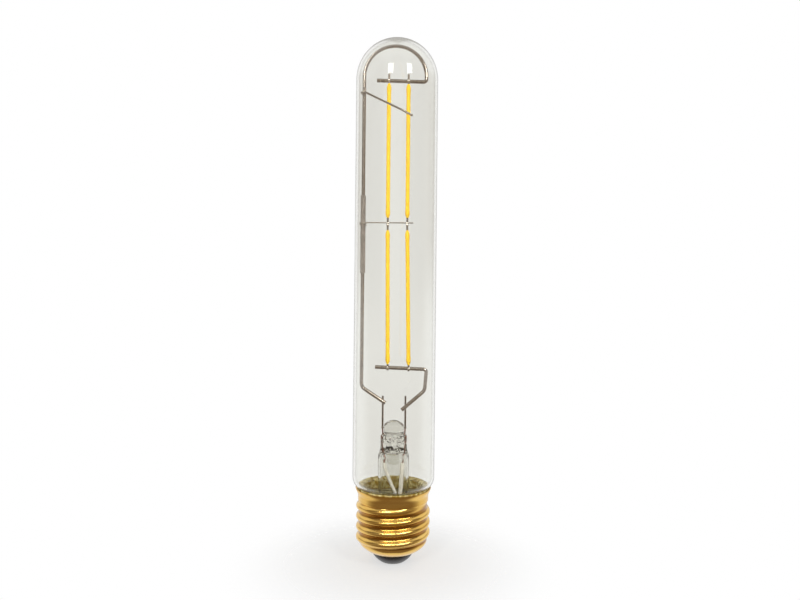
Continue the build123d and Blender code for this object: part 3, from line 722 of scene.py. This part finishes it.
brass_body = add_node(
    brass_tree,
    "ShaderNodeBsdfPrincipled",
    {
        "Base Color": painted_root_shade.outputs[2],
        "Metallic": 1,
        "Roughness": 0.2,
        "Normal": streak_bump.outputs["Normal"],
    },
)
add_node(brass_tree, "ShaderNodeOutputMaterial", {"Surface": brass_body.outputs[0]})
fit_piece(cap, brass, "brass_cap", "cap_shell")
# The sheet's inside, below the skirt's foot: matt and pale olive, painted light that lifts the dark band
# under the cement.
painted_light_inside = plain_finish("brass_sheet_inside_painted_light", "#8F8868", "#CDC6A8", 0.9, 0.85, 0)
cap.data.materials.append(painted_light_inside)
for face in cap.data.polygons:
    if face.normal.x * face.center.x + face.normal.y * face.center.y < 0 and face.center.z < skirt_foot:
        face.material_index = 1

# Basing cement: a baked resin and stone-dust paste that fills the gap between the neck and the cap.
# It sets rough, with a crumbly upper edge under the glass shoulder.
cement_low, cement_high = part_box("cement_ring")
cement_wet = 0.05 * MM
cement_play = 0.03 * MM
cement_inner = neck_radius - cement_wet
cement_outer = skirt_radius - sheet - cement_play
cement_rim = cement_high.x
rim_corner = cap_high.z - 0.26 * MM
crumb_depth = 0.14 * MM
crumb_size = 0.5 * MM
crumbly_from = cement_low.z + 1 * MM
cement_rows = 10
top_steps = 8


def shoulder_underside(radius):
    """Height of the glass shoulder's outer skin at a radius from the axis."""
    return shoulder_z - math.sqrt(shoulder_radius**2 - (radius - shoulder_centre) ** 2)


inner_top = shoulder_underside(cement_inner) + cement_wet
flare_low = cap_high.z - rim_flare
top_radii = [cement_inner + (cement_rim - cement_inner) * step / top_steps for step in range(top_steps + 1)]
cement_profile = [
    *straight((cement_inner, cement_low.z), (cement_inner, inner_top), cement_rows)[:-1],
    *[(radius, shoulder_underside(radius) + cement_wet) for radius in top_radii],
    (cement_rim, rim_corner),
    *straight((cement_outer, flare_low), (cement_outer, cement_low.z), cement_rows),
    (cement_inner, cement_low.z),
]
cement = turn_on_lathe("basing_cement_baked", cement_profile, LATHE_STEPS)
cement_middle = (cement_inner + cement_outer) / 2
for corner in cement.data.vertices:
    radius = math.hypot(corner.co.x, corner.co.y)
    crumb = crumb_depth * abs(noise.noise(corner.co / crumb_size))
    inwards = (1 if radius < cement_middle else -1) * crumb
    corner.co.x *= (radius + inwards) / radius
    corner.co.y *= (radius + inwards) / radius
    if corner.co.z > crumbly_from:
        corner.co.z -= crumb
smooth_edges(cement, 30)
# Baked cement: gritty, with olive-gold clots of resin among pale stone dust.
cement_paste = empty_material("basing_cement_gritty")
paste_tree = cement_paste.node_tree
paste_place = add_node(paste_tree, "ShaderNodeTexCoord", {}).outputs["Object"]
grit = add_node(paste_tree, "ShaderNodeTexVoronoi", {"Vector": paste_place, "Scale": 1 / (0.8 * MM)})
clots = add_node(
    paste_tree, "ShaderNodeTexNoise", {"Vector": paste_place, "Scale": 1 / (1.4 * MM), "Detail": 6}
)
paste_tone = two_tone(paste_tree, clots.outputs["Fac"], "#A4851A", "#FFF3B0", 0.4, 0.64)
grit_bump = add_node(
    paste_tree,
    "ShaderNodeBump",
    {"Height": grit.outputs["Distance"], "Strength": 0.8, "Distance": 0.12 * MM},
)
paste_body = add_node(
    paste_tree,
    "ShaderNodeBsdfPrincipled",
    {"Base Color": paste_tone, "Roughness": 0.55, "Normal": grit_bump.outputs["Normal"]},
)
add_node(paste_tree, "ShaderNodeOutputMaterial", {"Surface": paste_body.outputs[0]})
fit_piece(cement, cement_paste, "basing_cement", "cement_ring")

# Insulator: a black moulded button that closes the cap and holds the centre contact.
# Its plug sits in the shell's lower edge, which is pressed over it.
insulator_low, insulator_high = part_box("cap_insulator")
insulator_edge = insulator_high.x
insulator_face = 4.5 * MM
insulator_knee = (6.2 * MM, 1.9 * MM)
pocket_radius = 3.55 * MM
pocket_floor = 0.8 * MM
plug_play = 0.05 * MM
plug_radius = insulator_edge - sheet - plug_play
plug_shelf = cap_low.z - plug_play
button_curve = ((insulator_face, insulator_low.z), insulator_knee, (insulator_edge, plug_shelf))
button_side = straight((insulator_face, insulator_low.z), (insulator_edge, plug_shelf), 12)
insulator_profile = [
    (0, pocket_floor),
    (pocket_radius, pocket_floor),
    (pocket_radius, insulator_low.z),
    *[(through(button_curve, height), height) for _, height in button_side],
    (plug_radius, plug_shelf),
    (plug_radius, insulator_high.z),
    (0, insulator_high.z),
]
insulator = turn_on_lathe("insulator_button", insulator_profile, LATHE_STEPS)
smooth_edges(insulator, 40)
# Black phenolic, moulded: near black with a satin skin.
phenolic = plain_finish("phenolic_moulded_black", "#1F1B1C", "#2E2A2B", 0.6, 0.38, 0)
fit_piece(insulator, phenolic, "black_insulator", "cap_insulator")

# Centre contact: a pressed disc of tin-plated brass, with a hollow in the middle of its face.
# Its rivet goes up through the insulator and holds it there.
_, contact_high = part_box("centre_contact")
contact_radius = contact_high.x
contact_thickness = 0.8 * MM
contact_edge = 0.3 * MM
contact_steps = 96
rivet_radius = 1.2 * MM
hollow_rim = 2.4 * MM
hollow_round = 0.25 * MM
hollow_centre = (1.6 * MM, hollow_round)
hollow_floor = (0.9 * MM, 0.3 * MM)
contact_profile = [
    (0, contact_high.z),
    (rivet_radius, contact_high.z),
    (rivet_radius, contact_thickness),
    (contact_radius, contact_thickness),
    *arc((contact_radius - contact_edge, contact_edge), contact_edge, 0, -90, 6),
    (hollow_rim, 0),
    *arc(hollow_centre, hollow_round, 270, 180, 4),
    hollow_floor,
    (0, hollow_floor[1]),
]
contact = turn_on_lathe("contact_disc", contact_profile, contact_steps)
smooth_edges(contact, 40)
# Tin plate worn thin over brass: pale gold and satin.
tinned_brass = wire_metal("brass_disc_tinned", "#B09A66", "#D6C48E", 0.3)
fit_piece(contact, tinned_brass, "contact_metal", "centre_contact")

# Floor: a plain disc of pale paper that takes the bulb's shadow.
# It fades out into the white round it, and shiny surfaces don't mirror it.
floor_reach = 160 * MM
fade_start = 15 * MM
fade_end = 60 * MM
floor_sides = 64
bpy.ops.object.select_all(action="DESELECT")
bpy.ops.mesh.primitive_circle_add(vertices=floor_sides, radius=floor_reach, fill_type="NGON")
floor = bpy.context.object
floor.name = "floor"


def mirrored(tree):
    """Socket that is 1 where a shiny surface mirrors what is shaded, and 0 where it is seen straight."""
    path = add_node(tree, "ShaderNodeLightPath", {})
    depth = path.outputs["Glossy Depth"]
    return add_node(tree, "ShaderNodeMath", {0: depth, 1: 0.5}, operation="GREATER_THAN").outputs[0]


# Matt paper: near white, lifted a little by its own glow, so that only the shadow shows on it.
pale_floor = empty_material("pale_paper_matt")
floor_tree = pale_floor.node_tree
floor_place = add_node(floor_tree, "ShaderNodeTexCoord", {}).outputs["Object"]
spread = add_node(floor_tree, "ShaderNodeVectorMath", {0: floor_place}, operation="LENGTH")
fade = add_node(
    floor_tree,
    "ShaderNodeMapRange",
    {"Value": spread.outputs["Value"], "From Min": fade_start, "From Max": fade_end},
    interpolation_type="SMOOTHSTEP",
)
paper = add_node(floor_tree, "ShaderNodeBsdfDiffuse", {"Color": linear("#F4F4F2")})
glow = add_node(floor_tree, "ShaderNodeEmission", {"Color": linear("#FFFFFF"), "Strength": 1})
paper_lit = add_node(floor_tree, "ShaderNodeMixShader", {0: 0.6, 1: paper.outputs[0], 2: glow.outputs[0]})
clear = add_node(floor_tree, "ShaderNodeBsdfTransparent", {})
left_clear = add_node(
    floor_tree, "ShaderNodeMath", {0: fade.outputs[0], 1: mirrored(floor_tree)}, operation="MAXIMUM"
)
faded = add_node(
    floor_tree,
    "ShaderNodeMixShader",
    {0: left_clear.outputs[0], 1: paper_lit.outputs[0], 2: clear.outputs[0]},
)
add_node(floor_tree, "ShaderNodeOutputMaterial", {"Surface": faded.outputs[0]})
floor.data.materials.append(pale_floor)

# Studio: a white surround, dim low down on the camera's side, and two windows high in front.
# Two wide panels by them light the brass alone and show as dashes of light along its thread.
# The white is at strength 1 for what the camera, the glass and the metal see, and softer as light.
lamp_turns = {"left": -18, "right": 35}
lamp_distance = 1.0
window_rise = 24.5
window_size = (0.24, 0.205)
window_brightness = 17
mirror_dimming = 0.65
skins_before_out = 3.5
panel_rise = 33
panel_size = (0.7, 0.1)
panel_brightness = 16


def hang_lamp(name, size, brightness, turn, rise, middle):
    """Area lamp that faces a point, turned and raised by degrees from straight in front of it."""
    lamp = bpy.data.lights.new(name, "AREA")
    lamp.shape = "RECTANGLE"
    lamp.size, lamp.size_y = size
    lamp.energy = math.pi * brightness * size[0] * size[1]
    hung = bpy.data.objects.new(name, lamp)
    bpy.context.scene.collection.objects.link(hung)
    level = math.cos(math.radians(rise))
    across = level * math.sin(math.radians(turn))
    ahead = -level * math.cos(math.radians(turn))
    aim = Vector((across, ahead, math.sin(math.radians(rise))))
    hung.location = middle + aim * lamp_distance
    hung.rotation_euler = aim.to_track_quat("Z", "Y").to_euler()
    hung.visible_camera = False
    return hung


# The windows are dimmer in what the outside of the bulb mirrors, so that they burn out less there.
# Light that has gone into the bulb and out again has passed four skins of glass, and isn't dimmed.
for side, turn in lamp_turns.items():
    window = hang_lamp(
        f"window_{side}", window_size, window_brightness, turn, window_rise, Vector((0, 0, dome_z))
    )
    window.data.use_nodes = True
    lamp_tree = window.data.node_tree
    lamp_tree.nodes.clear()
    lamp_path = add_node(lamp_tree, "ShaderNodeLightPath", {})
    outside = add_node(
        lamp_tree,
        "ShaderNodeMath",
        {0: lamp_path.outputs["Transmission Depth"], 1: skins_before_out},
        operation="LESS_THAN",
    )
    dimmed = add_node(
        lamp_tree, "ShaderNodeMath", {0: mirrored(lamp_tree), 1: outside.outputs[0]}, operation="MULTIPLY"
    )
    shining = add_node(
        lamp_tree,
        "ShaderNodeMath",
        {0: dimmed.outputs[0], 1: -mirror_dimming, 2: 1},
        operation="MULTIPLY_ADD",
    )
    lamp_glow = add_node(lamp_tree, "ShaderNodeEmission", {"Strength": shining.outputs[0]})
    add_node(lamp_tree, "ShaderNodeOutputLight", {"Surface": lamp_glow.outputs[0]})

brass_alone = bpy.data.collections.new("brass_alone")
brass_alone.objects.link(cap)
for side, turn in lamp_turns.items():
    panel = hang_lamp(f"panel_{side}", panel_size, panel_brightness, turn, panel_rise, Vector((0, 0, 0)))
    panel.light_linking.receiver_collection = brass_alone

world = bpy.data.worlds.new("studio")
world.use_nodes = True
bpy.context.scene.world = world
room = world.node_tree
room.nodes.clear()
room_path = add_node(room, "ShaderNodeLightPath", {})
heading = add_node(room, "ShaderNodeTexCoord", {}).outputs["Generated"]
split = add_node(room, "ShaderNodeSeparateXYZ", {0: heading})
ahead = add_node(room, "ShaderNodeMath", {0: split.outputs["Y"], 1: -1}, operation="MULTIPLY")
aside = add_node(room, "ShaderNodeMath", {0: split.outputs["X"]}, operation="ABSOLUTE")
turn_away = add_node(room, "ShaderNodeMath", {0: aside.outputs[0], 1: ahead.outputs[0]}, operation="ARCTAN2")


def band(value, low, high):
    """Socket that eases from 0 at the first value to 1 at the second."""
    ease = add_node(
        room,
        "ShaderNodeMapRange",
        {"Value": value, "From Min": low, "From Max": high},
        interpolation_type="SMOOTHSTEP",
    )
    return ease.outputs["Result"]


def turned(low, high):
    """Band by the degrees that a direction is turned away from straight ahead, to either side."""
    return band(turn_away.outputs[0], math.radians(low), math.radians(high))


def raised(low, high):
    """Band by how far up a direction points, from -1 straight down to 1 straight up."""
    return band(split.outputs["Z"], low, high)


def both(first, second):
    """Socket with the product of two shares."""
    return add_node(room, "ShaderNodeMath", {0: first, 1: second}, operation="MULTIPLY").outputs[0]


def blend(share, first, second):
    """Colour socket between two colours."""
    return add_node(room, "ShaderNodeMix", {0: share, 6: first, 7: second}, data_type="RGBA").outputs[2]


# Dark flags stand to the sides of the camera, paler ones stand further back, and faint ones behind.
flag = both(both(turned(30, 45), turned(105, 90)), both(raised(-0.12, 0.08), raised(0.9, 0.65)))
side_flag = both(both(turned(85, 100), turned(142, 128)), both(raised(-0.05, 0.1), raised(0.4, 0.28)))
edge_flag = both(turned(158, 172), raised(-0.7, -0.4))
# A brown bench is below the camera, and the wall over it is a little grey. Straight down it is white.
above_foot = raised(-0.995, -0.965)
bench = both(turned(100, 60), both(raised(0.02, -0.28), above_foot))
front_wall = blend(both(turned(105, 80), above_foot), linear("#FFFFFF"), linear("#D6D2CC"))
with_edges = blend(edge_flag, front_wall, linear("#C8C6C2"))
with_flags = blend(side_flag, blend(flag, with_edges, linear("#8A8078")), linear("#BDB5AD"))
with_bench = blend(bench, with_flags, linear("#867463"))
# Only mirroring surfaces show these, and what is seen straight or through the glass is white.
room_seen = blend(mirrored(room), linear("#FFFFFF"), with_bench)
white_room = add_node(room, "ShaderNodeBackground", {"Color": room_seen, "Strength": 1})
soft_light = add_node(room, "ShaderNodeBackground", {"Color": linear("#FFFFFF"), "Strength": 0.5})
seen = add_node(
    room,
    "ShaderNodeMath",
    {0: room_path.outputs["Is Camera Ray"], 1: room_path.outputs["Is Glossy Ray"]},
    operation="MAXIMUM",
)
seen_through = add_node(
    room,
    "ShaderNodeMath",
    {0: seen.outputs[0], 1: room_path.outputs["Is Transmission Ray"]},
    operation="MAXIMUM",
)
surround = add_node(
    room,
    "ShaderNodeMixShader",
    {0: seen_through.outputs[0], 1: soft_light.outputs[0], 2: white_room.outputs[0]},
)
add_node(room, "ShaderNodeOutputWorld", {"Surface": surround.outputs[0]})
bpy.context.scene.view_settings.view_transform = "Standard"

# Camera at the photo's viewing angle: level with the bulb's middle, and rolled so that the bulb
# leans as it does there. Sizes in pixels are of the 800 by 600 frame.
photo_width = 800
focal_px = 661
eye_distance = 235 * MM
eye_height = 92.6 * MM
eye_right = 1.75 * MM
lean_degrees = 0.57
eye = bpy.data.cameras.new("eye")
eye.sensor_width = 36
eye.lens = focal_px / photo_width * eye.sensor_width
eye.clip_start = 10 * MM
camera = bpy.data.objects.new("eye", eye)
bpy.context.scene.collection.objects.link(camera)
camera.location = (eye_right, -eye_distance, eye_height)
camera.rotation_euler = (math.radians(90), 0, 0)
camera.rotation_euler.rotate_axis("Z", math.radians(lean_degrees))
bpy.context.scene.camera = camera
